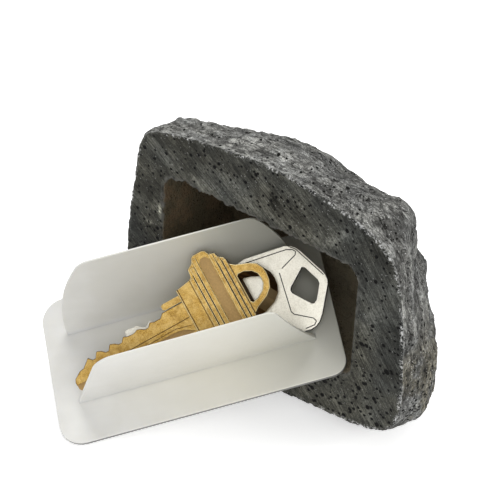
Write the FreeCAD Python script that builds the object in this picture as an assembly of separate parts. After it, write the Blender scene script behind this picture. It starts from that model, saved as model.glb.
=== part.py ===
import FreeCAD, Part
import math
import os
from FreeCAD import Placement, Rotation, Vector

# A hide-a-key rock: a cast stone with one flat face and a drafted cavity, stood on its long side, with its
# plastic key tray drawn out and leant in the mouth of the cavity, and two house keys lying in the tray.
# Frame: millimetres, Z up, X along the flat face, which looks along -Y, and the origin on the ground in the
# middle of the land that the stone stands on. The pieces are drawn about the flat face, in the plane Y = 0
# with the stone behind it in +Y, and moved back by land_middle when they are written.

# ---- driving dimensions -----------------------------------------------------------------------------------
# stone
stone_length = 88.3          # of the sawn outline, along X
stone_height = 66.2          # of the sawn outline
stone_depth = 41.0           # flat face to the top of the domed back
mouth_level = 38.0           # ground to the middle of the mouth
land_middle = 15.6           # flat face to the middle of the worn land that the stone stands on

# cavity
mouth_length = 60.6
mouth_width = 32.6
mouth_corner_top = 4.0       # corner radii at the mouth
mouth_corner_bottom = 2.0
cavity_depth = 26.6
cavity_draft = 5.0           # degrees that each wall leans in
cavity_floor_corner = 7.0    # corner radius at the floor

# tray
plate_length = 74.0
plate_width = 42.4
plate_thickness = 1.2
plate_corner_outer = 6.4     # the two corners at the outer end
plate_corner_inner = 4.0     # the two corners at the end that goes into the stone
wing_height = 24.4           # above the plate
wing_thickness = 0.8
wing_root_gap = 20.2         # middle of one wing to middle of the other, at the plate
wing_root_shift = 0.7        # the pair stands this far from the middle of the plate
wing_splay = 18.0            # degrees from upright at the root; the wings curl to upright at the top
wing_root_length = 61.8
wing_slant_outer = 10.6      # how far the outer end leans in over its height
wing_slant_inner = 6.6
near_end_bow = 0.6           # how far the outer end swells past its straight slant, near and far wing
far_end_bow = 2.6
wing_corner = 2.6
wing_root_fillet = 1.6

# keys
key_thickness = 2.0
blade_width = 8.2
bit_pitch = 3.8              # spacing of the cuts along a blade
bit_depth = 1.5
groove_width = 1.7           # milled groove along a blade
groove_depth = 0.55
stop_length = 5.2            # tab beside the brass key's blade, where it meets the bow
stop_width = 1.5
stop_gap = 0.9               # blade to tab
brass_length = 55.4
brass_blade = 32.0           # tip to the start of the bow
brass_bow_width = 25.8
brass_corner = 0.55          # upright corners of the bow
brass_eye_corner = 0.5
brass_cuts = (0.5, 0.8, 0.6, 0.9, 1.0, 1.2)      # depths from the bow to the tip, as shares of bit_depth
brass_first_cut = 6.1        # start of the bow to the first cut
nickel_length = 56.0
nickel_blade = 30.5
nickel_bow_width = 22.4
nickel_corner = 1.6
nickel_eye_corner = 1.0
nickel_cuts = (0.7, 1.0, 0.5, 1.1, 0.8, 0.4)
nickel_first_cut = 6.5

# clearances
seat_gap = 0.5               # tray corner above the lip of the mouth
side_gap = 0.3               # tray corner beside the end of the mouth
key_gap = 0.8                # lower edge of the nickel bow above the plate
wing_gap = 0.2               # the same edge beside the near wing's root
pile_gap = 0.7               # brass key above the nickel one, past the nickel's thickness

join_tolerance = 1e-6
edge_tolerance = 1e-4        # when edges are picked by where they lie

# how the tray is leant: turned about Z, climbing along its length, banked about its length (degrees)
tray_turn = 44.0
tray_climb = 18.0
tray_bank = 22.1
tray_entry = 0.9             # depth of its lower inner corner behind the face

# how each key lies in the tray: turned in the plate's plane, climbing to its bow, banked up the far wing
nickel_lie = (1.5, 3.0, 24.0)
brass_lie = (11.6, 6.3, 29.0)
nickel_bow_back = 13.7       # middle of each bow, back from the tray's inner end
brass_bow_back = 25.9
nickel_bow_middle = 14.0     # middle of each bow, back from its own end
brass_bow_middle = 13.2
brass_outward = 0.5          # the brass bow lies higher, where the near wing has splayed this far outwards


def prism(wire, height):
    return Part.Face(wire).extrude(Vector(0, 0, height))


def rounded_outline(x0, x1, y0, y1, radii, z=0.0):
    """Closed wire of a rectangle in a plane of constant Z; radii run from corner (x0, y0) counter-clockwise."""
    corners = [(x0, y0, 1, 1), (x1, y0, -1, 1), (x1, y1, -1, -1), (x0, y1, 1, -1)]
    edges = []
    ends = []
    for (x, y, sx, sy), r in zip(corners, radii):
        centre = Vector(x + sx * r, y + sy * r, z)
        along_x = Vector(x + sx * r, y, z)
        along_y = Vector(x, y + sy * r, z)
        middle = centre + Vector(-sx, -sy, 0) * (r / math.sqrt(2))
        first, last = (along_y, along_x) if sx * sy > 0 else (along_x, along_y)
        edges.append(Part.Arc(first, middle, last).toShape())
        ends.append((first, last))
    lines = []
    for i in range(4):
        lines.append(Part.makeLine(ends[i][1], ends[(i + 1) % 4][0]))
    wire = [e for pair in zip(edges, lines) for e in pair]
    return Part.Wire(wire)


# ---- stone ------------------------------------------------------------------------------------------------
# the sawn outline, from the upper left corner clockwise, about the middle of the mouth, as shares of the
# stone's length and height
face_outline = [
    (-0.396, 0.408), (-0.272, 0.453), (-0.113, 0.483), (0.045, 0.502), (0.204, 0.480), (0.328, 0.447),
    (0.436, 0.372), (0.487, 0.219), (0.507, 0.015), (0.521, -0.242), (0.493, -0.393), (0.408, -0.444),
    (0.227, -0.468), (0.034, -0.498), (-0.159, -0.498), (-0.340, -0.468), (-0.453, -0.393), (-0.479, -0.181),
    (-0.467, 0.045), (-0.448, 0.234),
]
outline_points = 60          # poles of the skin round each section
# depth as a share of the whole, then width, height above and below the mouth as shares of the sawn outline,
# how far the outline has become an ellipse, and how far it has sunk as a share of the stone's height
stone_sections = [
    (0.00, 1.00, 1.00, 1.00, 0.00, 0.0),
    (0.09, 1.005, 1.01, 1.08, 0.09, 0.0),
    (0.18, 1.01, 1.02, 1.15, 0.18, 0.0),
    (0.28, 1.00, 1.00, 1.18, 0.27, 0.008),
    (0.38, 0.98, 0.97, 1.18, 0.36, 0.018),
    (0.49, 0.93, 0.89, 1.12, 0.45, 0.038),
    (0.60, 0.86, 0.78, 1.02, 0.55, 0.060),
    (0.70, 0.78, 0.68, 0.90, 0.67, 0.073),
    (0.80, 0.67, 0.56, 0.76, 0.80, 0.083),
    (0.90, 0.48, 0.39, 0.52, 0.90, 0.089),
    (1.00, 0.16, 0.12, 0.16, 1.00, 0.091),
]
oval_length = 0.493          # half axes of the back, as shares of the stone's length and height
oval_height = 0.498
# swellings and hollows of the rough side: bearing about the mouth and spread in degrees, share of the depth
# and spread, height as a share of the stone's depth
stone_lumps = [
    (-38, 22, 0.40, 0.28, 0.074),
    (14, 24, 0.58, 0.26, -0.088),
    (47, 11, 0.32, 0.16, 0.054),
    (118, 20, 0.45, 0.20, -0.020),
    (-19, 14, 0.40, 0.20, 0.056),
    (23, 8, 0.42, 0.15, -0.085),
    (39, 8, 0.43, 0.15, 0.095),
    (76, 9, 0.48, 0.20, 0.034),
    (94, 15, 0.38, 0.20, 0.042),
    (205, 30, 0.50, 0.25, 0.061),
]
# the smaller unevenness, as crossed waves: how many go round the stone and how many into its depth, where
# they start, height as a share of the stone's depth
stone_waves = [
    (7, 1.6, 0.4, 0.010), (12, -2.3, 2.1, 0.011), (17, 3.1, 4.4, 0.010), (21, -1.2, 1.2, 0.008),
    (10, 4.6, 5.3, 0.010),
]
relief_start = 0.09          # share of the depth over which the unevenness grows from nothing at the face


def relief(bearing, depth):
    """How far the rough side stands out at a bearing in degrees and a share of the depth."""
    total = 0.0
    for middle, spread, lump_depth, depth_spread, height in stone_lumps:
        away = (bearing - middle + 180) % 360 - 180
        total += height * math.exp(-(away / spread) ** 2 - ((depth - lump_depth) / depth_spread) ** 2)
    for around, inward, start, height in stone_waves:
        total += height * math.sin(around * math.radians(bearing) + 2 * math.pi * inward * depth + start)
    return total * stone_depth * min(1.0, depth / relief_start)


def stone_section(depth, wide, above, below, round_share, sunk):
    """Poles of the skin round one section."""
    sawn = Part.BSplineCurve()
    sawn.interpolate([Vector(x * stone_length, 0, z * stone_height) for x, z in face_outline], PeriodicFlag=True)
    poles = []
    for i in range(outline_points):
        at = sawn.value(sawn.LastParameter * i / outline_points)
        reach = at.Length
        oval = reach / math.hypot(at.x / (oval_length * stone_length), at.z / (oval_height * stone_height))
        swell = relief(math.degrees(math.atan2(at.z, at.x)), depth)
        size = 1.0 + round_share * (oval / reach - 1.0) + swell / reach
        tall = above if at.z > 0 else below
        poles.append(Vector(at.x * size * wide, depth * stone_depth,
                            mouth_level + at.z * size * tall - sunk * stone_height))
    return poles


def stone_body():
    """One closed spline skin from the sawn face to the small flat of the back, and a flat cap on each end."""
    sections = [stone_section(*s) for s in stone_sections]
    net = [[poles[i] for poles in sections] for i in range(outline_points)]
    inward = len(sections) - 2
    skin = Part.BSplineSurface()
    skin.buildFromPolesMultsKnots(net, [1] * (outline_points + 1), [4] + [1] * (inward - 2) + [4],
                                  list(range(outline_points + 1)), list(range(inward)), True, False, 3, 3)
    side = skin.toShape()
    rims = [e for e in side.Edges if e.isClosed()]
    caps = [Part.Face(Part.Wire(e)) for e in rims]
    body = Part.Solid(Part.makeShell([side] + caps))
    # turns the caps to face outwards
    body.fix(join_tolerance, join_tolerance, join_tolerance)
    return body


def cavity():
    """The drafted hollow, from just before the face to its floor."""
    lean = math.tan(math.radians(cavity_draft))
    proud = 1.0
    wires = []
    # the hollow's own Y runs down, so its first two corners are the upper ones
    mouth_corners = [mouth_corner_top] * 2 + [mouth_corner_bottom] * 2
    for depth, corners in ((-proud, mouth_corners), (cavity_depth, [cavity_floor_corner] * 4)):
        half_x = mouth_length / 2 - depth * lean
        half_y = mouth_width / 2 - depth * lean
        wires.append(rounded_outline(-half_x, half_x, -half_y, half_y, corners, depth))
    hollow = Part.makeLoft(wires, True, True)
    # turned so that the hollow's own Z runs into the stone
    hollow.Placement = Placement(Vector(0, 0, mouth_level), Rotation(Vector(1, 0, 0), -90))
    return hollow


def rock_shell():
    body = stone_body()
    ground = Part.makeBox(2 * stone_length, 2 * stone_length, stone_height,
                          Vector(-stone_length, -stone_length, -stone_height))
    return body.cut(ground).cut(cavity())


# ---- tray -------------------------------------------------------------------------------------------------
# in the tray's own frame: plate top in Z = 0, X along the plate towards the end in the stone, Y across
def wing(side, end_bow):
    splay = math.radians(wing_splay)
    radius = wing_height / math.sin(splay)
    root = wing_root_shift + side * wing_root_gap / 2
    centre_y = root - side * radius * math.cos(splay)

    def on_arc(r, angle):
        return Vector(0, centre_y + side * r * math.cos(angle), wing_height - r * math.sin(angle))

    sunk = math.asin((wing_height + plate_thickness / 2) / radius)
    outer = radius + wing_thickness / 2
    inner = radius - wing_thickness / 2
    edges = [
        Part.Arc(on_arc(outer, sunk), on_arc(outer, sunk / 2), on_arc(outer, 0)).toShape(),
        Part.makeLine(on_arc(outer, 0), on_arc(inner, 0)),
        Part.Arc(on_arc(inner, 0), on_arc(inner, sunk / 2), on_arc(inner, sunk)).toShape(),
        Part.makeLine(on_arc(inner, sunk), on_arc(outer, sunk)),
    ]
    band = Part.Face(Part.Wire(edges)).extrude(Vector(wing_root_length, 0, 0))
    band.translate(Vector(-wing_root_length / 2, 0, 0))
    half = wing_root_length / 2
    # the side view of the wing, as a blank that reaches past both edges of the plate
    reach = plate_width
    low_outer = Vector(-half, -reach, 0)
    high_outer = Vector(-half + wing_slant_outer, -reach, wing_height)
    slant = (high_outer - low_outer).normalize()
    bowed = (low_outer + high_outer) / 2 + Vector(-slant.z, 0, slant.x) * end_bow
    under = [Vector(-half, -reach, -plate_thickness), Vector(half, -reach, -plate_thickness)]
    rest = Part.makePolygon([low_outer] + under + [
        Vector(half, -reach, 0), Vector(half - wing_slant_inner, -reach, wing_height), high_outer])
    profile = Part.Wire(rest.Edges + [Part.Arc(high_outer, bowed, low_outer).toShape()])
    blank = Part.Face(profile).extrude(Vector(0, 2 * reach, 0))
    tops = [e for e in blank.Edges
            if all(abs(v.Z - wing_height) < edge_tolerance for v in e.Vertexes)
            and abs(e.Vertexes[0].Y - e.Vertexes[-1].Y) > reach]
    blank = blank.makeFillet(wing_corner, tops)
    return band.common(blank)


def key_tray():
    half_x = plate_length / 2
    half_y = plate_width / 2
    radii = [plate_corner_outer, plate_corner_inner, plate_corner_inner, plate_corner_outer]
    plate = prism(rounded_outline(-half_x, half_x, -half_y, half_y, radii, -plate_thickness), plate_thickness)
    tray = plate.fuse([wing(-1, near_end_bow), wing(1, far_end_bow)]).removeSplitter()
    roots = [e for e in tray.Edges
             if all(abs(v.Z) < edge_tolerance for v in e.Vertexes) and e.Length > 0.9 * wing_root_length
             and abs(e.Vertexes[0].Y) < 0.4 * plate_width]
    return tray.makeFillet(wing_root_fillet, roots)


tray_rotation = Rotation(tray_turn, -tray_climb, tray_bank)


def tray_placement():
    """Leans the tray so that its lower inner corner lies just above the lip, in the corner of the mouth."""
    corner = Vector(plate_length / 2, -plate_width / 2, -plate_thickness)
    lip = Vector(mouth_length / 2 - side_gap, tray_entry, mouth_level - mouth_width / 2 + seat_gap)
    return Placement(lip - tray_rotation.multVec(corner), tray_rotation)


# ---- keys -------------------------------------------------------------------------------------------------
# each in its own frame: X from the blade's tip to the bow, Y across, Z through the thickness, middle plane Z = 0
def plate_from(points, corner=0.0):
    """A slab of the key's thickness from an outline, its upright edges rounded."""
    vectors = [Vector(x, y, -key_thickness / 2) for x, y in points]
    slab = Part.Face(Part.makePolygon(vectors + vectors[:1])).extrude(Vector(0, 0, key_thickness))
    if corner:
        upright = [e for e in slab.Edges if abs(e.Vertexes[0].Z - e.Vertexes[-1].Z) > key_thickness / 2]
        slab = slab.makeFillet(corner, upright)
    return slab


def mirrored(points):
    return points + [(x, -y) for x, y in reversed(points)]


def blade(length, cut_depths, first_cut):
    """Blade with its bitting on the upper edge: one V-shaped cut for each depth, from the bow to the tip."""
    half = blade_width / 2
    overlap = 1.0
    points = [(length + overlap, -half), (length + overlap, half)]
    for i, share in enumerate(cut_depths):
        middle = first_cut - i * bit_pitch
        floor = half - share * bit_depth
        points.append((middle + 0.38 * bit_pitch, half - 0.25 * bit_depth * (i > 0)))
        points.append((middle + 0.12 * bit_pitch, floor))
        points.append((middle - 0.12 * bit_pitch, floor))
    points.append((0.55 * blade_width / 2, 0.35 * half))
    points.append((0, -0.1 * half))
    points.append((0.45 * half, -half))
    shape = plate_from(points)
    run = length - 0.5 * bit_pitch
    for side, y in ((1, -0.12 * blade_width), (-1, 0.16 * blade_width)):
        groove = Part.makeBox(run + overlap, groove_width, groove_depth)
        top = key_thickness / 2 - groove_depth if side > 0 else -key_thickness / 2
        groove.translate(Vector(-overlap, y - groove_width / 2, top))
        shape = shape.cut(groove)
    return shape


def in_bow(shares, start, end, half):
    """Points from shares of the bow's length, counted from the blade, and of its half width."""
    return [(start + along * (end - start), across * half) for along, across in shares]


def brass_key():
    """Stepped bar-shaped bow with a loop behind it."""
    bow_frame = (brass_blade, brass_length, brass_bow_width / 2)
    outline = [(0.0, 0.62), (0.18, 0.66), (0.22, 0.83), (0.30, 1.0), (0.49, 1.0), (0.57, 0.79), (0.64, 0.63),
               (0.80, 0.56), (0.95, 0.30), (1.0, 0.10)]
    eye = [(0.64, 0.32), (0.74, 0.32), (0.85, 0.185), (0.87, 0.046)]
    bow = plate_from(mirrored(in_bow(outline, *bow_frame)), brass_corner)
    bow = bow.cut(plate_from(mirrored(in_bow(eye, *bow_frame)), brass_eye_corner))
    stop = Part.makeBox(stop_length, stop_width, key_thickness)
    stop.translate(Vector(brass_blade - 0.9 * stop_length, blade_width / 2 + stop_gap, -key_thickness / 2))
    key_blade = blade(brass_blade, brass_cuts, brass_blade - brass_first_cut)
    return bow.fuse([key_blade, stop]).removeSplitter()


def nickel_key():
    """Six-sided bow with a kite-shaped eye."""
    bow_frame = (nickel_blade, nickel_length, nickel_bow_width / 2)
    outline = [(-0.05, 0.37), (0.055, 0.60), (0.22, 1.0), (0.73, 1.0), (0.97, 0.26)]
    eye = [(0.625, 0), (0.81, 0.42), (0.905, 0), (0.81, -0.42)]
    bow = plate_from(mirrored(in_bow(outline, *bow_frame)), nickel_corner)
    bow = bow.cut(plate_from(in_bow(eye, *bow_frame), nickel_eye_corner))
    return bow.fuse(blade(nickel_blade, nickel_cuts, nickel_blade - nickel_first_cut)).removeSplitter()


def laid_in_tray(shape, bow_middle, width, lie, back, above, inward):
    """Lays a key against the near wing, its bow's middle a distance back from the tray's inner end."""
    turn, climb, bank = lie
    rotation = Rotation(turn, -climb, bank)
    tilt = math.radians(bank)
    near_wall = wing_root_shift - wing_root_gap / 2 + wing_thickness / 2
    side = near_wall + inward + width / 2 * math.cos(tilt)
    height = above + width / 2 * math.sin(tilt) + key_thickness / 2 * math.cos(tilt)
    at = Vector(plate_length / 2 - back, side, height)
    lying = Placement(at - rotation.multVec(Vector(bow_middle, 0, 0)), rotation)
    shape.Placement = tray_placement().multiply(lying)
    return shape


tray = key_tray()
tray.Placement = tray_placement()
nodes = {
    "rock_shell": rock_shell(),
    "key_tray": tray,
    "nickel_key": laid_in_tray(nickel_key(), nickel_length - nickel_bow_middle, nickel_bow_width, nickel_lie,
                               nickel_bow_back, key_gap, wing_gap),
    "brass_key": laid_in_tray(brass_key(), brass_length - brass_bow_middle, brass_bow_width, brass_lie,
                              brass_bow_back, key_gap + key_thickness + pile_gap, -brass_outward),
}

os.makedirs("parts", exist_ok=True)
for name, shape in nodes.items():
    shape.translate(Vector(0, -land_middle, 0))
    shape.exportStep("parts/" + name + ".step")
    print(name, shape.isValid(), len(shape.Solids), round(shape.Volume))
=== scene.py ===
import bpy
import bmesh
import math
from mathutils import Matrix, Vector, kdtree, noise


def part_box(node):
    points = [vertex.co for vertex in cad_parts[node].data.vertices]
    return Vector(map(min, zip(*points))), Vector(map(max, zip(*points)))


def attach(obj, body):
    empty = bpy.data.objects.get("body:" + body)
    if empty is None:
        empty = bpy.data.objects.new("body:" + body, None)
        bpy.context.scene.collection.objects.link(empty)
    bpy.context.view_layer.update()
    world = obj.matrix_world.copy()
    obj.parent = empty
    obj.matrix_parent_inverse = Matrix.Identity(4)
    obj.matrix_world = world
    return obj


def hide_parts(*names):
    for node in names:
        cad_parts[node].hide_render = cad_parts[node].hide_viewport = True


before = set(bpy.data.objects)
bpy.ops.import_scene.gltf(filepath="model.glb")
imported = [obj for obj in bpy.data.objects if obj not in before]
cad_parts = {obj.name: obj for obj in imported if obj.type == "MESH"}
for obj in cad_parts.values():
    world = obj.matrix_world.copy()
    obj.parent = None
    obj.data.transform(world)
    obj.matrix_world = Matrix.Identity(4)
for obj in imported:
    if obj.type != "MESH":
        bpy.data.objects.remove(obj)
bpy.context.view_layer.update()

noise.seed_set(4)                      # noise_vector takes its offsets from it
mm = 0.001
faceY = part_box("rock_shell")[0].y      # plane of the sawn face
mouthMiddle = Vector((0, faceY, 0.038))


def smooth(a, b, x):
    t = min(1.0, max(0.0, (x - a) / (b - a)))
    return t * t * (3 - 2 * t)


def turnMatrix(turn, climb, bank):
    return (Matrix.Rotation(math.radians(turn), 4, "Z") @ Matrix.Rotation(-math.radians(climb), 4, "Y")
            @ Matrix.Rotation(math.radians(bank), 4, "X"))


def meshOf(name, bm, materials=()):
    mesh = bpy.data.meshes.new(name)
    bm.to_mesh(mesh)
    bm.free()
    for material in materials:
        mesh.materials.append(material)
    return mesh


def linked(name, data):
    obj = bpy.data.objects.new(name, data)
    bpy.context.scene.collection.objects.link(obj)
    return obj


def rideWith(obj, body, node):
    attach(obj, body)
    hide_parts(node)


# puts the modifiers into the mesh
def modified(obj):
    graph = bpy.context.evaluated_depsgraph_get()
    mesh = bpy.data.meshes.new_from_object(obj.evaluated_get(graph))
    obj.modifiers.clear()
    obj.data = mesh
    return mesh


def addValues(mesh, name, domain, values):
    mesh.attributes.new(name, "FLOAT", domain).data.foreach_set("value", values)


# a node's socket, which adds and multiplies like a number
class Sock:
    def __init__(self, shade, socket):
        self.shade = shade
        self.socket = socket

    def __add__(self, other):
        return self.shade.maths("ADD", self, other)

    def __sub__(self, other):
        return self.shade.maths("SUBTRACT", self, other)

    def __rsub__(self, other):
        return self.shade.maths("SUBTRACT", other, self)

    def __mul__(self, other):
        return self.shade.maths("MULTIPLY", self, other)

    __radd__ = __add__
    __rmul__ = __mul__


# one material's nodes, with all sizes in millimetres
class Shade:
    def __init__(self, name):
        self.material = bpy.data.materials.new(name)
        self.material.use_nodes = True
        self.tree = self.material.node_tree
        self.tree.nodes.clear()
        self.place = self.node("ShaderNodeTexCoord", {}, {}, "Object")

    # a node of a type, with its settings and then the values or links of its sockets
    def node(self, kind, settings, sockets, output=0):
        made = self.tree.nodes.new(kind)
        for key, value in settings.items():
            setattr(made, key, value)
        for key, value in sockets.items():
            if isinstance(value, Sock):
                self.tree.links.new(value.socket, made.inputs[key])
            else:
                made.inputs[key].default_value = value
        return Sock(self, made.outputs[output]) if len(made.outputs) else None

    def maths(self, operation, a, b=0.0):
        return self.node("ShaderNodeMath", {"operation": operation}, {0: a, 1: b})

    def attribute(self, name, output="Fac"):
        return self.node("ShaderNodeAttribute", {"attribute_name": name}, {}, output)

    # coordinates turned by some degrees, then scaled along each axis
    def stretched(self, size=(1, 1, 1), turn=(0, 0, 0), of=None):
        turned = self.node("ShaderNodeVectorRotate", {"rotation_type": "EULER_XYZ"},
                           {"Vector": of or self.place, "Rotation": [math.radians(t) for t in turn]})
        return self.node("ShaderNodeVectorMath", {"operation": "MULTIPLY"}, {0: turned, 1: size})

    # coordinates moved about by up to half of amount
    def jittered(self, of, size, amount):
        wobble = self.node("ShaderNodeTexNoise", {}, {"Vector": of, "Scale": 1 / mm / size}, "Color")
        return self.node("ShaderNodeVectorMath", {"operation": "MULTIPLY_ADD"},
                         {0: wobble, 1: (amount * mm,) * 3, 2: of})

    # its features are about size across
    def noise(self, size, detail=4.0, rough=0.55, at=None, warp=0.0):
        return self.node("ShaderNodeTexNoise", {},
                         {"Vector": at or self.place, "Scale": 1 / mm / size, "Detail": detail,
                          "Roughness": rough, "Distortion": warp}, "Fac")

    # flat cells where coordinates are given, and otherwise cells in space
    def cells(self, size, output="Distance", at=None):
        return self.node("ShaderNodeTexVoronoi", {"voronoi_dimensions": "2D" if at else "3D", "feature": "F1"},
                         {"Vector": at or self.place, "Scale": 1 / mm / size}, output)

    # goes smoothly from a, where the value is at low, to b, where it is at high
    def ramp(self, value, low, high, a=0.0, b=1.0):
        return self.node("ShaderNodeMapRange", {"interpolation_type": "SMOOTHSTEP"},
                         dict(enumerate((value, low, high, a, b))))

    def mix(self, share, a, b, kind="MIX"):
        a, b = (c if isinstance(c, Sock) else (*c, 1) for c in (a, b))
        return self.node("ShaderNodeMix", {"data_type": "RGBA", "blend_type": kind}, {0: share, 6: a, 7: b}, 2)

    # coats laid over a colour, each with how much it covers
    def coated(self, colour, coats):
        for share, coat in coats:
            colour = self.mix(share, colour, coat)
        return colour

    # product of several grains, each given by its name, low, high, darkest and lightest
    def toned(self, grains, tones):
        product, *others = (self.ramp(grains[name], *limits) for name, *limits in tones)
        for other in others:
            product = product * other
        return product

    # a height of 1 stands for the whole depth
    def bump(self, height, depth, strength):
        return self.node("ShaderNodeBump", {}, {"Strength": strength, "Distance": depth * mm, "Height": height})

    def finished(self, shader):
        self.node("ShaderNodeOutputMaterial", {}, {"Surface": shader})
        return self.material

    def surface(self, sockets):
        return self.finished(self.node("ShaderNodeBsdfPrincipled", {}, sockets))


rockSet = {
    "grain": 0.53,              # size of the skin's meshes, mm
    "relief": 0.6,              # height of the crags, mm
    "streak": 2.2,              # how much longer the crags are along the edge than across it
    "girth": 38.0,              # mean distance of the rough side from the middle of the mouth, mm
    "mouthHalf": (30.3, 16.3), "hollowDepth": 26.6, "taper": 5.0,      # mm, and degrees for the taper
    "chipReach": 1.1, "chipDepth": 0.7,     # chips along the edges of the sawn face, mm
    "ragged": 1.0, "raggedReach": 2.0,      # rise of the mouth's broken top edge and how far it reaches, mm
    # knobs and dents: middle, radius and rise, mm
    "lumps": [((31, 0.5, 64.5), 4.0, 1.3), ((29.5, 8.5, 52), 4.5, -2.0), ((30, 13, 42), 3.5, 1.2),
              ((36, 9, 36), 3.5, -1.3), ((40.5, 4.5, 29.5), 5.0, 1.0), ((42.5, -3, 7), 3.5, -0.6),
              ((-10, -1, 67.5), 6.0, 0.4), ((-25.5, 0, 64), 4.5, -0.6), ((-37, -12, 62.5), 3.5, 0.7)],
    # pale and dark scuffs on the sawn face: middle along and up, length, width, mm, slope, strength
    "scuffs": [(25.1, 62.2, 2.0, 1.1, 50, 1.4), (21.8, 58.6, 2.2, 1.1, 50, 1.3),
               (-17, 56.4, 8.0, 1.7, -5, 0.75), (-27, 60.0, 4.5, 3.0, 15, 0.6),
               (12, 57.3, 10.0, 1.8, 0, 0.6), (-3, 57.5, 5.0, 1.6, -12, 0.5),
               (35, 40, 2.5, 9.0, -10, 0.35), (-25, 60.5, 6.0, 4.0, -10, -0.25),
               (-8, 60.0, 8.0, 2.6, -8, 0.40), (4, 60.5, 4.0, 4.0, 0, -0.15), (25, 60.5, 6.0, 3.5, 30, 0.25),
               (36.4, 44, 4.0, 6.0, 0, 0.25), (30, 15, 12.0, 8.0, 0, 0.25),
               (-31.4, 42.5, 0.5, 1.8, 10, 5.0), (-34.6, 37.5, 0.9, 0.4, 0, 4.0),
               (-11.5, 63.0, 4.0, 2.5, -20, 0.30), (3.5, 62.5, 3.5, 2.5, -20, -0.25)],
    # saw marks: squeeze along them and slope in degrees, for the left, the right, the wide ones and smears
    "sawMarks": [(0.07, 34), (0.07, 54), (0.16, 44), (0.6, 34)],
    # round pits: cell size, mm, radius as a share of it, how many cells have one
    "facePits": [(6.0, 0.13, 0.36), (3.4, 0.17, 0.50), (1.9, 0.20, 0.58)],
    "sidePits": [(2.6, 0.22, 0.46), (1.3, 0.30, 0.54)],
    # what each grain does to the tone: low, high, darkest, lightest
    "faceTones": [("patch", 0.34, 0.66, 0.66, 1.36), ("saw", 0.34, 0.68, 0.58, 1.5),
                  ("sawWide", 0.34, 0.68, 0.76, 1.28), ("grain", 0.3, 0.7, 0.62, 1.36),
                  ("fine", 0.3, 0.7, 0.74, 1.26), ("grit", 0.35, 0.65, 0.72, 1.28)],
    "sideTones": [("streak", 0.34, 0.66, 0.48, 1.56), ("blotch", 0.34, 0.66, 0.76, 1.22),
                  ("crumb", 0.36, 0.64, 0.50, 1.55), ("grit", 0.36, 0.64, 0.6, 1.45)],
    "face": (0.056, 0.058, 0.053), "faceWarm": (0.063, 0.062, 0.051),
    # the pit colour is painted shade in the pits
    "faceSpeck": (0.38, 0.38, 0.37), "facePit": (0.004, 0.004, 0.004),
    "side": (0.216, 0.218, 0.208), "sideBrown": (0.176, 0.164, 0.128),
    # painted highlight on the ridges and painted shade in the dips
    "sideRidgeHighlight": (0.50, 0.50, 0.49), "sideDipShade": (0.045, 0.044, 0.041), "sideVein": (0.42, 0.42, 0.41),
    # the crack and pit colours are painted shade in them
    "sideCrack": (0.009, 0.008, 0.007), "sidePit": (0.006, 0.006, 0.005), "sideSpeck": (0.78, 0.78, 0.77),
    "hollow": (0.155, 0.128, 0.080), "hollowRust": (0.230, 0.165, 0.100),
    "hollowDust": (0.07, 0.060, 0.044), "hollowLight": (0.32, 0.28, 0.20),
    # pale chips along the edges and the lip, with painted highlights on them
    "rimChipHighlight": (0.74, 0.74, 0.73), "lipChipHighlight": (0.15, 0.148, 0.135),
    "bumpDepth": 0.5, "shine": 0.08,
}
lipSpare = 0.9                  # how far outside the mouth an edge still counts as the mouth's, mm
hollowSpare = 0.6               # the same for the hollow's walls and floor
hollowMiddle = Vector((0, 0.013, 0))    # from the middle of the mouth
faceSpare = 0.45                # how deep a point still counts as the sawn face, mm
landTop = 0.0004                # what is lower is the flat land underneath
edgeStep = 0.0003               # from one point to the next along the edges


def between(share, a, b):
    return a * (1 - share) + b * share


def stoneGrains(s, on):
    flow = s.attribute("flow", "Vector")
    sawLeft, sawRight, sawWide, smear = (s.stretched((squeeze, 1, 1), (0, -slope, 0))
                                         for squeeze, slope in rockSet["sawMarks"])
    along = s.stretched((0.32, 1, 1), of=flow)
    level = s.stretched((0.5, 1, 1), (0, 20, 0))
    return {
        "flow": flow,
        "saw": between(on["steep"], s.noise(0.36, 3, 0.7, sawLeft, 0.3), s.noise(0.36, 3, 0.7, sawRight, 0.3)),
        "sawWide": s.noise(1.5, 3, 0.6, sawWide, 0.5),
        "smear": s.noise(7.0, 3, 0.5, smear, 0.6),
        "patch": s.noise(10, 5, 0.62),
        "grain": s.noise(0.75, 4, 0.72),
        "fine": s.noise(0.3, 3, 0.65),
        "grit": s.noise(0.26, 2, 0.8),
        # the streaks follow the edge of the sawn face, and lie nearly level at the back
        "streak": between(on["behind"], s.noise(1.1, 4, 0.7, along, 0.5), s.noise(1.3, 4, 0.7, level, 0.5)),
        "crumb": s.noise(0.5, 4, 0.75, flow, 0.3),
        "blotch": s.noise(7.5, 4, 0.6),
    }


# each cell has a pit of its own radius or none, and there are more where the stone is pitted
def pits(s, kinds, pitted, at=None):
    found = None
    for size, radius, often in kinds:
        chance = s.ramp(s.cells(size, "Color", at) + pitted * 0.22, 1.0 - often, 1.35 - often)
        away = s.cells(size, "Distance", at) - chance * radius * (pitted * 0.2 + 1.0)
        pit = s.ramp(away, -0.035, 0.01, 1.0, 0.0)
        found = s.maths("MAXIMUM", found, pit) if found else pit
    return found


def windingLines(s, size, width, at):
    return s.ramp(s.maths("ABSOLUTE", s.noise(size, 3, 0.6, at, 0.6) - 0.5), 0.0, width, 1.0, 0.0)


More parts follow.
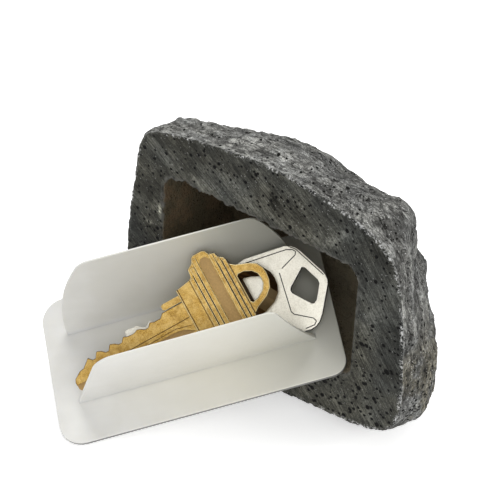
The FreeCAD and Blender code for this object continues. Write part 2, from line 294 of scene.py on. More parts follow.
def sawnFace(s, on, grains):
    k = rockSet
    saw, grain = grains["saw"], grains["grain"]
    smears = s.ramp(grains["smear"], 0.58, 0.72) * s.ramp(saw, 0.35, 0.62, 0.4, 1.6)
    scuffs = on["scuff"] * s.ramp(grain, 0.35, 0.62, 0.7, 2.6) * s.ramp(saw, 0.35, 0.65, 0.5, 1.3)
    tone = s.toned(grains, k["faceTones"]) + smears + scuffs
    pit = pits(s, k["facePits"], on["pitted"], s.jittered(s.stretched(turn=(-90, 0, 0)), 1.1, 0.5))
    speck = (s.ramp(s.cells(0.85), 0.10, 0.2, 1.0, 0.0)
             * s.ramp(s.noise(2.0, 2) - on["steep"] * 0.04, 0.50, 0.57))
    colour = s.mix(s.ramp(s.noise(18, 3), 0.35, 0.65), k["face"], k["faceWarm"])
    colour = s.mix(1.0, colour, tone, "MULTIPLY")
    # pale specks, and pits painted near black as the shade in them
    colour = s.coated(colour, [(speck * 0.8, k["faceSpeck"]), (pit * 0.97, k["facePit"])])
    return colour, saw * 0.45 + grain * 0.3 + grains["fine"] * 0.2 - pit * 1.8


def roughSide(s, on, grains):
    k = rockSet
    flow, crumb, ridge = grains["flow"], grains["crumb"], on["ridge"]
    crack = windingLines(s, 4.0, 0.022, flow) * s.ramp(s.noise(4, 2), 0.47, 0.54)
    vein = windingLines(s, 2.2, 0.03, s.stretched(turn=(0, 0, 90), of=flow)) * s.ramp(crumb, 0.42, 0.6)
    pit = pits(s, k["sidePits"], on["pitted"])
    speck = s.ramp(s.cells(0.75), 0.10, 0.22, 1.0, 0.0) * s.ramp(s.noise(2.4, 3, 0.6), 0.50, 0.56)
    # painted light on the top and painted shade behind the knob
    tone = s.toned(grains, k["sideTones"]) * (on["worn"] * 0.4 + 1.0)
    brown = s.ramp(s.noise(8, 3), 0.40, 0.56) * s.ramp(on["brown"], 0.0, 1.0, 0.15, 1.0)
    colour = s.mix(1.0, s.mix(brown, k["side"], k["sideBrown"]), tone, "MULTIPLY")
    # painted highlights make it pale on its ridges, and painted shade makes it dark in its dips, cracks and pits
    colour = s.coated(colour, [
        (s.ramp(ridge, 0.0, 0.9) * s.ramp(crumb, 0.50, 0.60) * 0.8, k["sideRidgeHighlight"]),
        (vein * 0.45, k["sideVein"]), (s.ramp(ridge, 0.0, -0.9) * 0.65, k["sideDipShade"]),
        (crack * 0.92, k["sideCrack"]), (pit * 0.95, k["sidePit"]), (speck * 0.9, k["sideSpeck"])])
    height = grains["streak"] * 1.3 + crumb * 1.2 + grains["fine"] * 0.4
    return colour, height - pit * 1.4 - crack * 0.8 + vein * 0.3


def stoneMaterial(names):
    k = rockSet
    s = Shade("stone")
    on = {name: s.attribute(name) for name in names}
    grains = stoneGrains(s, on)
    faceColour, faceHeight = sawnFace(s, on, grains)
    sideColour, sideHeight = roughSide(s, on, grains)
    # the hollow has rust and dust, and painted light makes it paler towards the right
    hollowColour = s.coated(s.mix(s.ramp(s.noise(6, 4, 0.6), 0.4, 0.62), k["hollow"], k["hollowRust"]),
                            [(s.ramp(grains["fine"], 0.35, 0.65) * 0.4, k["hollowDust"]),
                             (on["far"], k["hollowLight"])])
    # pale chips follow the edges, with a painted highlight along the lit edge, and there are more on the right
    rimChipsAndHighlights = (on["rim"] * s.ramp(s.noise(0.6, 4, 0.72), 0.5, 0.58)
                * s.ramp(s.noise(5, 3, 0.6) + on["steep"] * 0.05, 0.47, 0.56, 0.12, 1.0))
    # the mouth's lip is paler, with chips and a painted highlight
    lipChipsAndHighlight = on["lip"] * s.ramp(s.noise(2.2, 4, 0.7), 0.44, 0.56, 0.1, 0.9)
    colour = s.coated(sideColour, [(on["face"], faceColour), (on["hollow"], hollowColour),
                                   (rimChipsAndHighlights, k["rimChipHighlight"]), (lipChipsAndHighlight, k["lipChipHighlight"])])
    return s.surface({"Base Color": colour, "Roughness": s.ramp(grains["grain"], 0.3, 0.7, 0.55, 0.85),
                      "Normal": s.bump(s.mix(on["face"], sideHeight, faceHeight), k["bumpDepth"], 1.0),
                      "Specular IOR Level": k["shine"]})


def nearestOf(points):
    tree = kdtree.KDTree(len(points))
    for i, p in enumerate(points):
        tree.insert(p, i)
    tree.balance()
    return tree


# the two edges of the sawn face, as points: outside and round the mouth
def faceEdges(bm):
    rim, lip = [], []
    halfX, halfZ = ((half + lipSpare) * mm for half in rockSet["mouthHalf"])
    for edge in bm.edges:
        flat = [abs(f.normal.y) > 0.999 and abs(f.calc_center_median().y - faceY) < 1e-5
                for f in edge.link_faces]
        if sum(flat) != 1:
            continue
        a, b = (v.co for v in edge.verts)
        middle = (a + b) / 2 - mouthMiddle
        length = (b - a).length
        points = lip if abs(middle.x) < halfX and abs(middle.z) < halfZ else rim
        points += [a.lerp(b, i * edgeStep / max(length, edgeStep)) for i in range(int(length / edgeStep) + 1)]
    return nearestOf(rim), nearestOf(lip)


# place along the edge of the sawn face, into the depth and outwards, in mm, squeezed along the edge
def flowPlace(p):
    q = p - mouthMiddle / mm
    bearing = (math.atan2(q.z, q.x) + math.pi / 2) % (2 * math.pi)
    return Vector((bearing * rockSet["girth"] / rockSet["streak"], q.y, math.hypot(q.x, q.z)))


# rise of the crags, and how much of a ridge or a dip the place is
def crags(p, flow):
    bent = flow + 0.9 * noise.noise_vector(p / 3.5)
    crag = noise.ridged_multi_fractal(bent / 4.6, 0.9, 2.1, 4, 1.0, 2.0) - 1.2
    (first, second, *_), (middle, *_) = noise.voronoi(bent / 3.1)
    lean = noise.noise_vector(middle * 5.3)
    chunk = (bent / 3.1 - middle).dot(lean) * 2.0 + noise.noise(middle * 9.7)
    inside = smooth(0.0, 0.16, second - first)
    small = noise.fractal(bent / 1.5, 0.8, 2.1, 3)
    rise = 0.5 * crag + 0.8 * chunk * inside - 0.3 * (1 - inside) + 0.4 * small
    return rise, 0.6 * crag + 0.6 * chunk * inside + 0.8 * small - 0.7 * (1 - inside)


def scuffAt(x, z):
    total = 0.0
    for atX, atZ, long, wide, slope, strength in rockSet["scuffs"]:
        c, s = math.cos(math.radians(slope)), math.sin(math.radians(slope))
        u = ((x - atX) * c + (z - atZ) * s) / long
        w = ((z - atZ) * c - (x - atX) * s) / wide
        total += strength * math.exp(-u * u - w * w)
    return total


def chips(p, size, more):
    return max(0.0, noise.fractal(p / size, 0.8, 2.1, 3) + more)


# where a point of the stone's skin goes, its place in the flow and its marks for the material
def rockPoint(co, n, rimAway, lipAway):
    k = rockSet
    q = co - mouthMiddle
    depth = q.y / mm
    taper = depth * math.tan(math.radians(k["taper"])) * mm
    halfX, halfZ = ((half + hollowSpare) * mm - taper for half in k["mouthHalf"])
    inward = n.dot(q - hollowMiddle) < 0
    deep = 0.2 < depth < k["hollowDepth"] + hollowSpare
    inHollow = inward and deep and abs(q.x) < halfX and abs(q.z) < halfZ
    onFace = depth < faceSpare and not inHollow
    p = co / mm
    flow = flowPlace(p)
    ridge = 0.0
    to = co.copy()
    if onFace:
        # chips eat into both edges
        nearRim = max(0.0, 1 - rimAway / k["chipReach"])
        nearLip = max(0.0, 1 - lipAway / k["chipReach"]) * (1.0 if q.z > 0 else 0.35)
        to.y = faceY + nearRim * nearRim * (0.12 + chips(p, 1.7, 0.15) * 1.1 * k["chipDepth"]) * mm
        to.y += nearLip * nearLip * chips(p, 1.3, 0.1) * mm
    elif inHollow:
        to += n * (0.10 * noise.fractal(p / 2.5, 0.8, 2.1, 3)) * mm
    elif co.z >= landTop:
        rise, sharp = crags(p, flow)
        share = smooth(0.0, 1.8, rimAway) * smooth(-0.2, 1.6, p.z)
        bite = 0.5 * chips(p, 1.4, 0.2) * (1 - smooth(0.0, 1.6, rimAway))
        lump = sum(up * math.exp(-((p - Vector(at)).length / radius) ** 2) for at, radius, up in k["lumps"])
        to += n * ((rise * k["relief"] + lump) * share - bite) * mm
        to.y = max(to.y, faceY)
        ridge = max(-1.0, min(1.0, sharp * 0.9)) * share
    if (onFace or inHollow) and q.z > 0 and lipAway < k["raggedReach"]:
        # the top of the mouth is broken away unevenly
        teeth = noise.fractal(Vector((p.x / 2.4, 3.7, 0)), 0.45, 2.3, 4) * (1 - 0.45 * smooth(2, 16, p.x))
        to.z += k["ragged"] * teeth * (1 - lipAway / k["raggedReach"]) * mm
    # painted light makes it paler along the top edge and at its left end, and painted shade makes it darker
    # behind the knob
    worn = (smooth(12, 3, rimAway) * smooth(30, -5, p.x) * smooth(40, 55, p.z)
            + 0.35 * smooth(5, -15, p.x) * smooth(50, 60, p.z)
            - 0.5 * math.exp(-((p.x - 14) ** 2 + (p.z - 66) ** 2) / 60))
    return to, flow * mm, {
        "face": float(onFace), "hollow": float(inHollow), "ridge": ridge, "worn": worn,
        "scuff": scuffAt(p.x, p.z) if onFace else 0.0,
        "rim": smooth(0.85, 0.35, rimAway),
        "lip": smooth(1.2, 0.3, lipAway) * (1.0 if q.z > 0 else 0.5),
        "steep": smooth(12, 32, p.x),
        "behind": smooth(16, 26, depth),
        # painted light in the hollow, paler towards the right
        "far": smooth(-24, 4, p.x) * 0.75,
        "brown": smooth(10, 40, p.x) * smooth(48, 22, p.z),
        "pitted": smooth(-10, 40, p.x) * smooth(40, 8, p.z),
    }


def buildRock():
    bm = bmesh.new()
    bm.from_mesh(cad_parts["rock_shell"].data)
    bmesh.ops.remove_doubles(bm, verts=bm.verts, dist=1e-6)
    bmesh.ops.recalc_face_normals(bm, faces=bm.faces)
    rim, lip = faceEdges(bm)
    obj = linked("rock", meshOf("rock", bm))
    remesh = obj.modifiers.new("grain", "REMESH")
    remesh.mode = "VOXEL"
    remesh.voxel_size = rockSet["grain"] * mm
    mesh = modified(obj)
    points = [rockPoint(v.co, v.normal, rim.find(v.co)[2] / mm, lip.find(v.co)[2] / mm)
              for v in mesh.vertices]
    for v, (to, flow, marks) in zip(mesh.vertices, points):
        v.co = to
    names = list(points[0][2])
    for name in names:
        addValues(mesh, name, "POINT", [marks[name] for to, flow, marks in points])
    flows = mesh.attributes.new("flow", "FLOAT_VECTOR", "POINT")
    flows.data.foreach_set("vector", [c for to, flow, marks in points for c in flow])
    mesh.materials.append(stoneMaterial(names))
    mesh.polygons.foreach_set("use_smooth", [True] * len(mesh.polygons))
    rideWith(obj, "rock", "rock_shell")
    print("rock", len(mesh.polygons))


# millimetres; of two values, -1 is for the wing in front and 1 for the one behind
traySet = {
    "at": (-10.664, -27.290, 19.409), "turn": (44.0, 18.0, 22.1),      # turn, climb and bank in degrees
    "length": 74.0, "width": 42.4, "thick": 1.2, "cornerOuter": 6.4, "cornerInner": 4.0, "plateRound": 0.25,
    "wingHeight": 24.4, "rootThick": 0.8, "topThick": 0.42, "wingRound": 0.14,
    "rootGap": 20.2, "rootShift": 0.7, "rootLength": 61.8, "splay": 18.0,      # degrees for the splay
    "slantOuter": 10.6, "slantInner": 6.6,      # how much a wing is shorter at its top, at either end
    "bowOuter": {-1: 0.6, 1: 2.6}, "bowInner": {-1: 0.0, 1: 1.5},      # how far those ends swell
    "droop": {-1: 0.0, 1: 0.045},               # how much lower its inner end is, as a share
    "cornerLow": {-1: 3.2, 1: 1.8}, "cornerHigh": 1.6,
    "rootFillet": 0.7, "footWidth": 0.5, "footSunk": 0.1,
    "rows": 44, "footRows": 12, "columns": 48,
    "white": (0.720, 0.714, 0.682), "paler": (0.758, 0.753, 0.726), "cloud": (0.69, 0.685, 0.65),
    # these three colours are painted shade towards the end inside the stone
    "warm": (0.73, 0.705, 0.60), "paintedShade": (0.50, 0.50, 0.445), "deeperShade": (0.28, 0.28, 0.245),
    # painted shadow along the plate's lower rim
    "rimShadow": (0.10, 0.10, 0.10),
}
trayPlace = Matrix.Translation(Vector(traySet["at"])) @ turnMatrix(*traySet["turn"])


def plasticMaterial():
    k = traySet
    s = Shade("tray plastic")
    mottle = s.noise(9, 3, 0.5)
    faint = s.noise(1.2, 3, 0.6)
    cloud = s.noise(3.0, 2, 0.5, s.stretched((0.25, 1, 1), (0, 0, -44)))
    inner = s.attribute("inner")
    colour = s.coated(s.mix(s.ramp(mottle, 0.35, 0.65), k["white"], k["paler"]), [
        (s.ramp(cloud, 0.3, 0.7) * 0.3, k["cloud"]),
        # painted shade, warmer and greyer towards the end inside the stone and on the far side
        (s.ramp(inner, 0.1, 0.7, 0.0, 0.6), k["warm"]),
        (s.ramp(inner, 0.55, 1.0, 0.0, 0.7), k["paintedShade"]),
        (s.ramp(inner, 0.95, 1.3, 0.0, 0.8), k["deeperShade"]),
        # painted shadow along the plate's lower rim
        (s.attribute("rimShadow") * 0.85, k["rimShadow"])])
    return s.surface({"Base Color": colour, "Roughness": s.ramp(faint, 0.3, 0.7, 0.38, 0.5),
                      "Normal": s.bump(mottle * 0.6 + faint * 0.12, 0.18, 0.35), "Subsurface Weight": 0.3,
                      "Subsurface Radius": (1.0, 0.95, 0.8), "Subsurface Scale": 0.0015, "IOR": 1.5})


def roundedPlate(length, width, radii, steps=8):
    points = []
    for (x, y, start), r in zip(((-1, -1, 180), (1, -1, 270), (1, 1, 0), (-1, 1, 90)), radii):
        for i in range(steps + 1):
            a = math.radians(start + 90 * i / steps)
            points.append((x * (length / 2 - r) + r * math.cos(a), y * (width / 2 - r) + r * math.sin(a)))
    return points


def roundRims(bm, faces, width):
    faces = list(faces)
    bmesh.ops.recalc_face_normals(bm, faces=faces)
    rims = {e for f in faces for e in f.edges if e.calc_face_angle(0) > math.radians(50)}
    bmesh.ops.bevel(bm, geom=list(rims), offset=width, offset_type="OFFSET", segments=3, profile=0.5,
                    affect="EDGES", material=-1, clamp_overlap=True)


# how far a round top corner draws the wing's end in at a height
def cornerIn(z, r):
    over = max(0.0, z - (traySet["wingHeight"] - r))
    return 1.2 * (r - math.sqrt(max(0.0, r * r - over * over)))


# a point on one face of a wing, by its share of the length and its row
def wingPoint(side, face, along, row):
    t = traySet
    top, fillet, feet = t["wingHeight"], t["rootFillet"], t["footRows"]
    # the first rows go up the fillet at the root
    if row <= feet:
        z = fillet * (1 - math.cos(math.pi / 2 * row / feet)) - (0 if row else t["footSunk"])
    else:
        z = fillet + (top - fillet) * math.sin(math.pi / 2 * (row - feet) / (t["rows"] - feet))
    share = min(1.0, max(0.0, z / top))
    swell = 4 * share * (1 - share)
    half = t["rootLength"] / 2
    low = t["slantOuter"] * share - half - t["bowOuter"][side] * swell + cornerIn(z, t["cornerLow"][side])
    high = half - t["slantInner"] * share + t["bowInner"][side] * swell - cornerIn(z, t["cornerHigh"])
    # the section is an arc, upright at its top and leaning by the splay at its root
    splay = math.radians(t["splay"])
    radius = top / math.sin(splay)
    centre = t["rootShift"] + side * (t["rootGap"] / 2 - radius * math.cos(splay))
    angle = math.asin(min(1.0, (top - z) / radius))
    offset = face * (t["rootThick"] + (t["topThick"] - t["rootThick"]) * share) / 2
    foot = 1 - math.sqrt(max(0.0, 1 - max(0.0, min(1.0, 1 - z / fillet)) ** 2))
    out = (radius + offset) * math.cos(angle) + face * t["footWidth"] * foot
    rise = top - (radius + offset * (1 - foot)) * math.sin(angle)
    return Vector((low + (high - low) * along, centre + side * out, rise * (1 - t["droop"][side] * along)))


# two bent sheets of quads joined along their rims
def buildWing(bm, side):
    rows, columns = traySet["rows"], traySet["columns"]
    sheets = [[[bm.verts.new(wingPoint(side, face, j / columns, i)) for j in range(columns + 1)]
               for i in range(rows + 1)] for face in (1, -1)]
    a, b = sheets
    built = len(bm.faces)
    for i in range(rows):
        for j in range(columns):
            bm.faces.new((a[i][j], a[i][j + 1], a[i + 1][j + 1], a[i + 1][j]))
            bm.faces.new((b[i][j], b[i + 1][j], b[i + 1][j + 1], b[i][j + 1]))
    a, b = (g[0] + [row[-1] for row in g[1:]] + g[-1][-2::-1] + [row[0] for row in g[-2:0:-1]] for g in sheets)
    for i in range(len(a)):
        j = (i + 1) % len(a)
        bm.faces.new((a[i], b[i], b[j], a[j]))
    bm.faces.ensure_lookup_table()
    roundRims(bm, bm.faces[built:], traySet["wingRound"])


def buildTray():
    t = traySet
    bm = bmesh.new()
    outer, inner = t["cornerOuter"], t["cornerInner"]
    outline = roundedPlate(t["length"], t["width"], (outer, inner, inner, outer))
    face = bm.faces.new([bm.verts.new((x, y, -t["thick"])) for x, y in outline])
    made = bmesh.ops.extrude_face_region(bm, geom=[face])
    up = [g for g in made["geom"] if isinstance(g, bmesh.types.BMVert)]
    bmesh.ops.translate(bm, vec=(0, 0, t["thick"]), verts=up)
    roundRims(bm, bm.faces, t["plateRound"])
    for side in (-1, 1):
        buildWing(bm, side)
    # painted shade makes it greyer and warmer towards the end inside the stone and on the far side, and a
    # painted shadow darkens its lower rim
    paintedShade = [v.co.x / t["length"] + 0.5 + 0.35 * smooth(-8, 6, v.co.y) * smooth(0, 20, v.co.x) for v in bm.verts]
    # the plate's lower side walls take a painted shadow
    rimShadow = [float(f.calc_center_median().z < -0.2 and abs(f.normal.z) < 0.5) for f in bm.faces]
    bmesh.ops.transform(bm, matrix=Matrix.Scale(mm, 4) @ trayPlace, verts=bm.verts)
    mesh = meshOf("tray", bm, [plasticMaterial()])
    addValues(mesh, "inner", "POINT", paintedShade)
    addValues(mesh, "rimShadow", "FACE", rimShadow)
    mesh.polygons.foreach_set("use_smooth", [True] * len(mesh.polygons))
    mesh.set_sharp_from_angle(angle=math.radians(38))
    rideWith(linked("tray", mesh), "tray", "key_tray")
    print("tray", len(mesh.polygons))


# millimetres; x runs from the blade's tip to the bow, and "at" and "lie" are its place in the tray
nickelSet = {
    "lie": (1.5, 3.0, 24.0), "at": (-18.628, 0.334, 4.071),
    "thick": 2.0, "bladeThick": 1.8, "bowRound": 0.16, "bladeRound": 0.08,
    "bow": [(29.3, 4.1), (31.9, 6.7), (34.6, 9.6), (36.3, 10.5), (38.0, 11.0), (48.6, 11.0), (50.2, 10.5),
            (51.2, 9.7), (52.2, 8.4), (55.9, 1.9), (56.3, 0.8), (56.4, -0.4), (56.1, -1.6), (52.6, -8.1),
            (51.4, -9.7), (50.2, -10.6), (48.6, -11.0), (38.0, -11.0), (36.3, -10.5), (34.6, -9.6),
            (31.9, -6.7), (29.3, -4.1)],
    "eye": [(51.2, 4.5), (51.9, 4.1), (54.0, 0.3), (54.1, -0.7), (52.2, -4.4), (51.4, -5.0), (50.8, -4.8),
            (47.0, -0.9), (46.8, -0.1), (47.1, 0.6)],
    # lines cut into the bow
    "lines": [
        [(30.6, 4.0), (35.2, 8.9), (38.4, 9.9), (48.7, 9.9), (50.3, 9.4), (50.9, 8.7), (50.5, 7.9), (46.3, 5.7)],
        [(45.4, 4.9), (45.3, -5.3), (45.8, -6.1), (50.1, -8.5), (50.6, -9.4), (49.9, -10.2), (47.5, -10.4)],
        [(49.3, 10.75), (51.1, 9.25), (55.8, 1.0)],
    ],
    "lineWidth": 0.26, "lineDepth": 0.22,
    "cuts": (0.7, 1.0, 0.5, 1.1, 0.8, 0.4), "firstCut": 24.0, "blade": 30.5,
    "metal": (0.72, 0.692, 0.602), "dark": (0.62, 0.592, 0.505), "pale": (0.80, 0.776, 0.69),
    # shine is a painted highlight on the rims, wall is painted shade on the upright walls, groove is painted
    # shade in the cut lines
    "shine": (0.92, 0.90, 0.84), "wall": (0.10, 0.09, 0.07), "groove": (0.035, 0.033, 0.03),
    "speckSize": 0.35, "rough": 0.36,
}
brassSet = {
    "lie": (11.6, 6.3, 29.0), "at": (-29.988, -6.652, 5.998),
    "thick": 2.1, "bladeThick": 1.68,
    "bowRound": 0.24, "bladeRound": 0.16, "stopRound": 0.12, "ridgeRound": 0.15,
    "bow": [(33.2, 7.4), (37.2, 8.1), (38.0, 8.5), (38.3, 10.6), (39.7, 11.4), (40.4, 12.7), (41.0, 13.1),
            (43.4, 13.1), (44.3, 12.7), (44.8, 11.6), (46.2, 11.1), (46.5, 9.9), (47.7, 9.0), (48.1, 7.0),
            (49.4, 6.0), (52.6, 4.8), (54.3, 3.7), (55.1, 2.2), (55.3, 0.6), (55.1, -1.2), (54.3, -3.1),
            (52.6, -4.6), (49.4, -6.0), (48.1, -7.0), (47.7, -9.0), (46.5, -9.9), (46.2, -11.1), (44.8, -11.6),
            (44.3, -12.7), (43.4, -13.1), (41.0, -13.1), (40.4, -12.7), (39.7, -11.4), (38.3, -10.6),
            (38.0, -8.5), (37.2, -8.1), (33.2, -7.4)],
    "eye": [(48.9, 3.6), (50.4, 3.5), (52.2, 2.6), (53.2, 1.4), (53.4, 0.0), (53.2, -1.4), (52.3, -2.7),
            (50.4, -3.9), (48.9, -4.2), (48.5, -3.8), (48.5, 3.2)],
    "stop": [(28.0, 4.6), (28.6, 4.35), (33.6, 4.35), (33.6, 6.1), (28.6, 6.1), (28.0, 5.8)],
    "lean": (1.0, -2.0),        # how far the loop's wall stands out below, along and across
    # ridges across the bow: left edge, right edge, half length, rise over the face
    "ridges": [(37.6, 38.7, 8.0, 0.25), (38.9, 40.0, 10.4, 0.4), (40.2, 41.4, 12.2, 0.5),
               (44.6, 45.6, 11.3, 0.5), (45.8, 46.8, 9.8, 0.4), (47.0, 47.95, 8.6, 0.25)],
    # sunken strip across the bow: left edge, right edge, half length
    "plaque": (41.55, 44.4, 11.4), "plaqueCorner": (0.8, 1), "plaqueDepth": 0.22,
    "leaf": [(0.0, -1.5), (22.0, -1.7), (27.4, -1.6), (30.5, -2.1), (33.0, -3.6), (30.0, -3.7), (0.0, -3.4)],
    "leafDepth": 0.5,
    # lines cut into the bow and into the blade: points, width, depth
    "bowLines": [*(([(x, -8.6), (x, 8.6)], 0.18, 0.3) for x in (37.35, 38.8, 40.1, 45.7, 46.9, 48.1)),
                 ([(33.65, -7.6), (33.65, 7.6)], 0.24, 0.3)],
    "bladeLines": [([(7.5, -0.1), (33.0, 0.05)], 0.2, 0.3),
                   ([(20.0, -1.15), (28.5, -0.95), (32.9, -2.0)], 0.16, 0.25)],
    "cuts": (0.5, 0.8, 0.55, 0.85, 0.95, 1.0), "firstCut": 26.0, "blade": 33.4,
    "metal": (0.42, 0.265, 0.068), "dark": (0.21, 0.118, 0.027), "pale": (0.60, 0.445, 0.18),
    # shine is a painted highlight on the rims, wall is painted shade on the upright walls, groove is painted
    # shade in the cut lines
    "shine": (0.95, 0.82, 0.48), "wall": (0.10, 0.050, 0.018), "groove": (0.10, 0.055, 0.020),
    "plaqueColour": (0.305, 0.198, 0.078), "speckSize": 0.2, "rough": 0.34,
}
bladeHalf = 4.2                 # half the height of both blades
bitPitch = 3.8                  # from one cut to the next
cutDepth = 1.9                  # of a cut of 1
cutAbove = 0.6                  # how far the cutters reach over the bow's face


# a closed slab between two levels, with holes through it and its rims rounded
def extruded(bm, outline, low, high, holes=(), bevel=0.0):
    edges = []
    for loop in (outline, *holes):
        verts = [bm.verts.new((x, y, low)) for x, y in loop]
        edges += [bm.edges.new(pair) for pair in zip(verts, verts[1:] + verts[:1])]
    made = bmesh.ops.triangle_fill(bm, use_beauty=True, use_dissolve=False, edges=edges)
    faces = [g for g in made["geom"] if isinstance(g, bmesh.types.BMFace)]
    raised = bmesh.ops.extrude_face_region(bm, geom=faces, use_keep_orig=True)
    top = [g for g in raised["geom"] if isinstance(g, bmesh.types.BMVert)]
    bmesh.ops.translate(bm, vec=(0, 0, high - low), verts=top)
    whole = list({f for v in top for f in v.link_faces} | set(faces))
    bmesh.ops.recalc_face_normals(bm, faces=whole)
    if bevel:
        rims = {e for f in whole for e in f.edges
                if len(e.link_faces) == 2 and e.calc_face_angle(0) > math.radians(60)
                and abs(e.verts[0].co.z - e.verts[1].co.z) < 1e-6}
        bmesh.ops.bevel(bm, geom=list(rims), offset=bevel, offset_type="OFFSET", segments=2, profile=0.5,
                        affect="EDGES", material=-1, clamp_overlap=True)


# short slabs along a line of points
def lineSlabs(bm, points, width, low, high):
    for start, end in zip(points, points[1:]):
        a, b = Vector(start), Vector(end)
        along = b - a
        across = Vector((-along.y, along.x)).normalized() * width / 2
        extruded(bm, [tuple(a - across), tuple(b - across), tuple(b + across), tuple(a + across)], low, high)


def bladeOutline(k):
    points = [(k["blade"], -bladeHalf + 0.1), (k["blade"], bladeHalf)]
    for i, cut in enumerate(k["cuts"]):
        middle = k["firstCut"] - i * bitPitch
        floor = bladeHalf - cut * cutDepth
        # the peaks after the first cut are lower than the blade
        points += [(middle + 1.5, bladeHalf - (0.55 if i else 0.0)),
                   (middle + 1.2, bladeHalf - (0.8 if i else 0.3)),
                   (middle + 0.5, floor), (middle - 0.4, floor), (middle - 1.3, bladeHalf - 0.95)]
    # round the tip
    return points + [(3.6, 1.5), (2.4, 1.3), (0.5, 0.1), (0.1, -0.8), (0.2, -2.6), (1.0, -3.6),
                     (1.8, -bladeHalf)]


def keyMaterial(name, k):
    s = Shade(name)
    size, rough = k["speckSize"], k["rough"]
    speck = s.noise(size, 4, 0.7)
    scratch = s.noise(0.5, 2, 0.6, s.stretched((0.08, 1, 1), (0, 0, -50)))
    rimHighlightShade = s.attribute("rimHighlightShade")
    colour = s.coated(s.mix(s.ramp(speck, 0.38, 0.58), k["dark"], k["metal"]), [
        # painted highlights in pale patches at random
        (s.ramp(s.noise(size * 9, 4, 0.6), 0.35, 0.65, 0.0, 0.4), k["pale"]),
        (s.ramp(s.noise(size * 14, 5, 0.7), 0.36, 0.52, 0.55, 0.0), k["dark"]),
        (s.ramp(scratch, 0.58, 0.7) * 0.12, k["pale"]),
        # painted highlights on the bow's rims and painted shade on the blade's rims
        (s.ramp(rimHighlightShade, 0.0, 1.0) * 0.8, k["shine"]),
        (s.ramp(rimHighlightShade, 0.0, -1.0) * 0.75, k["dark"]),
        # painted shade on the upright walls
        (s.attribute("edge"), k["wall"])])
    return s.surface({"Base Color": colour, "Metallic": 1.0,
                      "Roughness": s.ramp(speck, 0.35, 0.65, rough + 0.14, rough),
                      "Normal": s.bump(speck * 0.7 + scratch * 0.1, 0.05, 0.5)})


# a darker metal for the floors of cut lines, where it is painted shade, and for the plaque's floor
def grooveMaterial(name, colour):
    s = Shade(name)
    tone = s.mix(s.noise(0.5, 3), colour, [c * 1.8 for c in colour])
    return s.surface({"Base Color": tone, "Metallic": 0.6, "Roughness": 0.6})


# cuts the lines, marks the walls and the rims, and lays the key in the tray
def finishKey(name, body, cutter, materials, k):
    for f in cutter.faces:
        f.material_index = max(1, f.material_index)
    tool = linked("cutter", meshOf("cutter", cutter, materials))
    obj = linked(name, meshOf(name, body, materials))
    cut = obj.modifiers.new("lines", "BOOLEAN")
    cut.operation = "DIFFERENCE"
    cut.solver = "EXACT"
    cut.use_self = True
    cut.object = tool
    mesh = modified(obj)
    bpy.data.objects.remove(tool)
    # painted highlights on the bow's rims and painted shade on the blade's rims, and painted shade makes upright
    # walls darker than the faces
    rimHighlightShade = [smooth(0.999, 0.97, p.normal.z)
                * (1 if p.center.x > k["blade"] - 0.5 or p.center.y > bladeHalf else -1) for p in mesh.polygons]
    addValues(mesh, "edge", "FACE", [1 - smooth(0.76, 0.9, abs(p.normal.z)) for p in mesh.polygons])
    addValues(mesh, "rimHighlightShade", "FACE", rimHighlightShade)
    place = trayPlace @ Matrix.Translation(Vector(k["at"])) @ turnMatrix(*k["lie"])
    mesh.transform(Matrix.Scale(mm, 4) @ place)
    print(name, len(mesh.polygons))
    return obj


def buildNickelKey():
    k = nickelSet
    face, bladeFace = k["thick"] / 2, k["bladeThick"] / 2
    body = bmesh.new()
    extruded(body, k["bow"], -face, face, [k["eye"]], k["bowRound"])
    extruded(body, bladeOutline(k), -bladeFace, bladeFace, (), k["bladeRound"])
    cutter = bmesh.new()
    for points in k["lines"]:
        lineSlabs(cutter, points, k["lineWidth"], face - k["lineDepth"], face + cutAbove)
    materials = [keyMaterial("nickel", k), grooveMaterial("nickel groove", k["groove"])]
    obj = finishKey("nickelKey", body, cutter, materials, k)
    rideWith(obj, "lower key", "nickel_key")


def buildBrassKey():
    k = brassSet
    face, bladeFace = k["thick"] / 2, k["bladeThick"] / 2
    body = bmesh.new()
    extruded(body, k["bow"], -face, face, [k["eye"]], k["bowRound"])
    # the loop's wall leans outwards below
    for v in body.verts:
        if v.co.z < 0:
            lean = smooth(46.5, 50.0, v.co.x)
            v.co.x += k["lean"][0] * lean
            v.co.y += k["lean"][1] * lean
    extruded(body, bladeOutline(k), -bladeFace, bladeFace, (), k["bladeRound"])
    extruded(body, k["stop"], -bladeFace, bladeFace, (), k["stopRound"])
    for x0, x1, reach, rise in k["ridges"]:
        ridge = [(x0, -reach), (x1, -reach), (x1, reach), (x0, reach)]
        extruded(body, ridge, face - 0.2, face + rise, (), k["ridgeRound"])
    cutter = bmesh.new()
    x0, x1, reach = k["plaque"]
    inX, inY = k["plaqueCorner"]
    plaque = [(x0, -reach + inY), (x0 + inX, -reach), (x1 - inX, -reach), (x1, -reach + inY),
              (x1, reach - inY), (x1 - inX, reach), (x0 + inX, reach), (x0, reach - inY)]
    extruded(cutter, plaque, face - k["plaqueDepth"], face + cutAbove)
    extruded(cutter, k["leaf"], bladeFace - k["leafDepth"], face)
    # the floors of these two are of the third material
    for f in cutter.faces:
        f.material_index = 2 if abs(f.normal.z) > 0.5 else 1
    for points, width, depth in k["bowLines"]:
        lineSlabs(cutter, points, width, face - depth, face + cutAbove)
    for points, width, depth in k["bladeLines"]:
        lineSlabs(cutter, points, width, bladeFace - depth, face)
    materials = [keyMaterial("brass", k), grooveMaterial("brass groove", k["groove"]),
                 grooveMaterial("brass plaque", k["plaqueColour"])]
    obj = finishKey("brassKey", body, cutter, materials, k)
    rideWith(obj, "upper key", "brass_key")


buildRock()
buildTray()
buildNickelKey()
buildBrassKey()

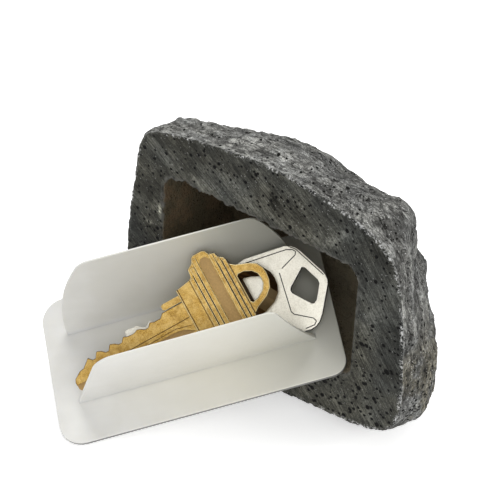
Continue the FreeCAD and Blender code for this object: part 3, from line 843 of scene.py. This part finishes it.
# metres and watts
studioSet = {
    # lamps: place, size across, power
    "lamps": {"overhead": ((-0.22, 0.1, 0.93), 0.5, 4.1), "front": ((0.42, -0.60, 0.48), 0.7, 2.6),
              "side": ((0.75, 0.24, 0.42), 0.4, 2.2)},
    "lampAim": (0, 0, 0.03), "sky": 0.46,
    "pale": (0.8, 0.8, 0.8, 1), "white": (1, 1, 1, 1), "lift": 0.46,
    "floorReach": 4.0, "floorDrop": 0.0002,
}


# white where it is seen, and pale where it only lights the object
def floorMaterial():
    k = studioSet
    s = Shade("floor")
    camera, glossy = (s.node("ShaderNodeLightPath", {}, {}, ray) for ray in ("Is Camera Ray", "Is Glossy Ray"))
    pale = s.node("ShaderNodeBsdfDiffuse", {}, {"Color": k["pale"]})
    white = s.node("ShaderNodeBsdfDiffuse", {}, {"Color": k["white"]})
    lift = s.node("ShaderNodeEmission", {}, {"Color": k["white"], "Strength": k["lift"]})
    lifted = s.node("ShaderNodeAddShader", {}, {0: white, 1: lift})
    seen = s.maths("MAXIMUM", camera, glossy)
    return s.finished(s.node("ShaderNodeMixShader", {}, {0: seen, 1: pale, 2: lifted}))


def addFloor():
    bm = bmesh.new()
    bmesh.ops.create_grid(bm, x_segments=1, y_segments=1, size=studioSet["floorReach"])
    bmesh.ops.translate(bm, vec=(0, 0, -studioSet["floorDrop"]), verts=bm.verts)
    floor = linked("floor", meshOf("floor", bm, [floorMaterial()]))
    print("floor")


def addLights():
    for name, (at, size, power) in studioSet["lamps"].items():
        lamp = bpy.data.lights.new(name, "AREA")
        lamp.shape = "DISK"
        lamp.size = size
        lamp.energy = power
        obj = linked(name, lamp)
        obj.location = at
        obj.rotation_euler = (Vector(studioSet["lampAim"]) - Vector(at)).to_track_quat("-Z", "Y").to_euler()
    world = bpy.data.worlds.new("studio")
    bpy.context.scene.world = world
    world.use_nodes = True
    sky = world.node_tree.nodes["Background"].inputs
    sky["Color"].default_value = studioSet["white"]
    sky["Strength"].default_value = studioSet["sky"]
    print("lights")


# degrees, metres for the distance, and mm for the lens and for how far it looks past the mouth's middle
viewSet = {"azimuth": 36.75, "elevation": 36.15, "roll": 3.18, "distance": 0.5669, "lens": 164.2,
           "sensor": 36.0, "aside": -1.382, "above": 6.034}


def addCamera():
    k = viewSet
    az, el, roll = (math.radians(k[name]) for name in ("azimuth", "elevation", "roll"))
    back = Vector((math.sin(az) * math.cos(el), -math.cos(az) * math.cos(el), math.sin(el)))
    level = Vector((math.cos(az), math.sin(az), 0))
    upright = back.cross(level)
    right = level * math.cos(roll) + upright * math.sin(roll)
    up = upright * math.cos(roll) - level * math.sin(roll)
    aim = mouthMiddle + (right * k["aside"] + up * k["above"]) * mm
    camera = bpy.data.cameras.new("camera")
    camera.lens = k["lens"]
    camera.sensor_width = k["sensor"]
    camera.clip_start = 0.01
    obj = linked("camera", camera)
    axes = Matrix((right, up, back)).transposed().to_4x4()
    obj.matrix_world = Matrix.Translation(aim + back * k["distance"]) @ axes
    bpy.context.scene.camera = obj
    print("camera")


addFloor()
addLights()
addCamera()
bpy.context.scene.view_settings.view_transform = "Standard"
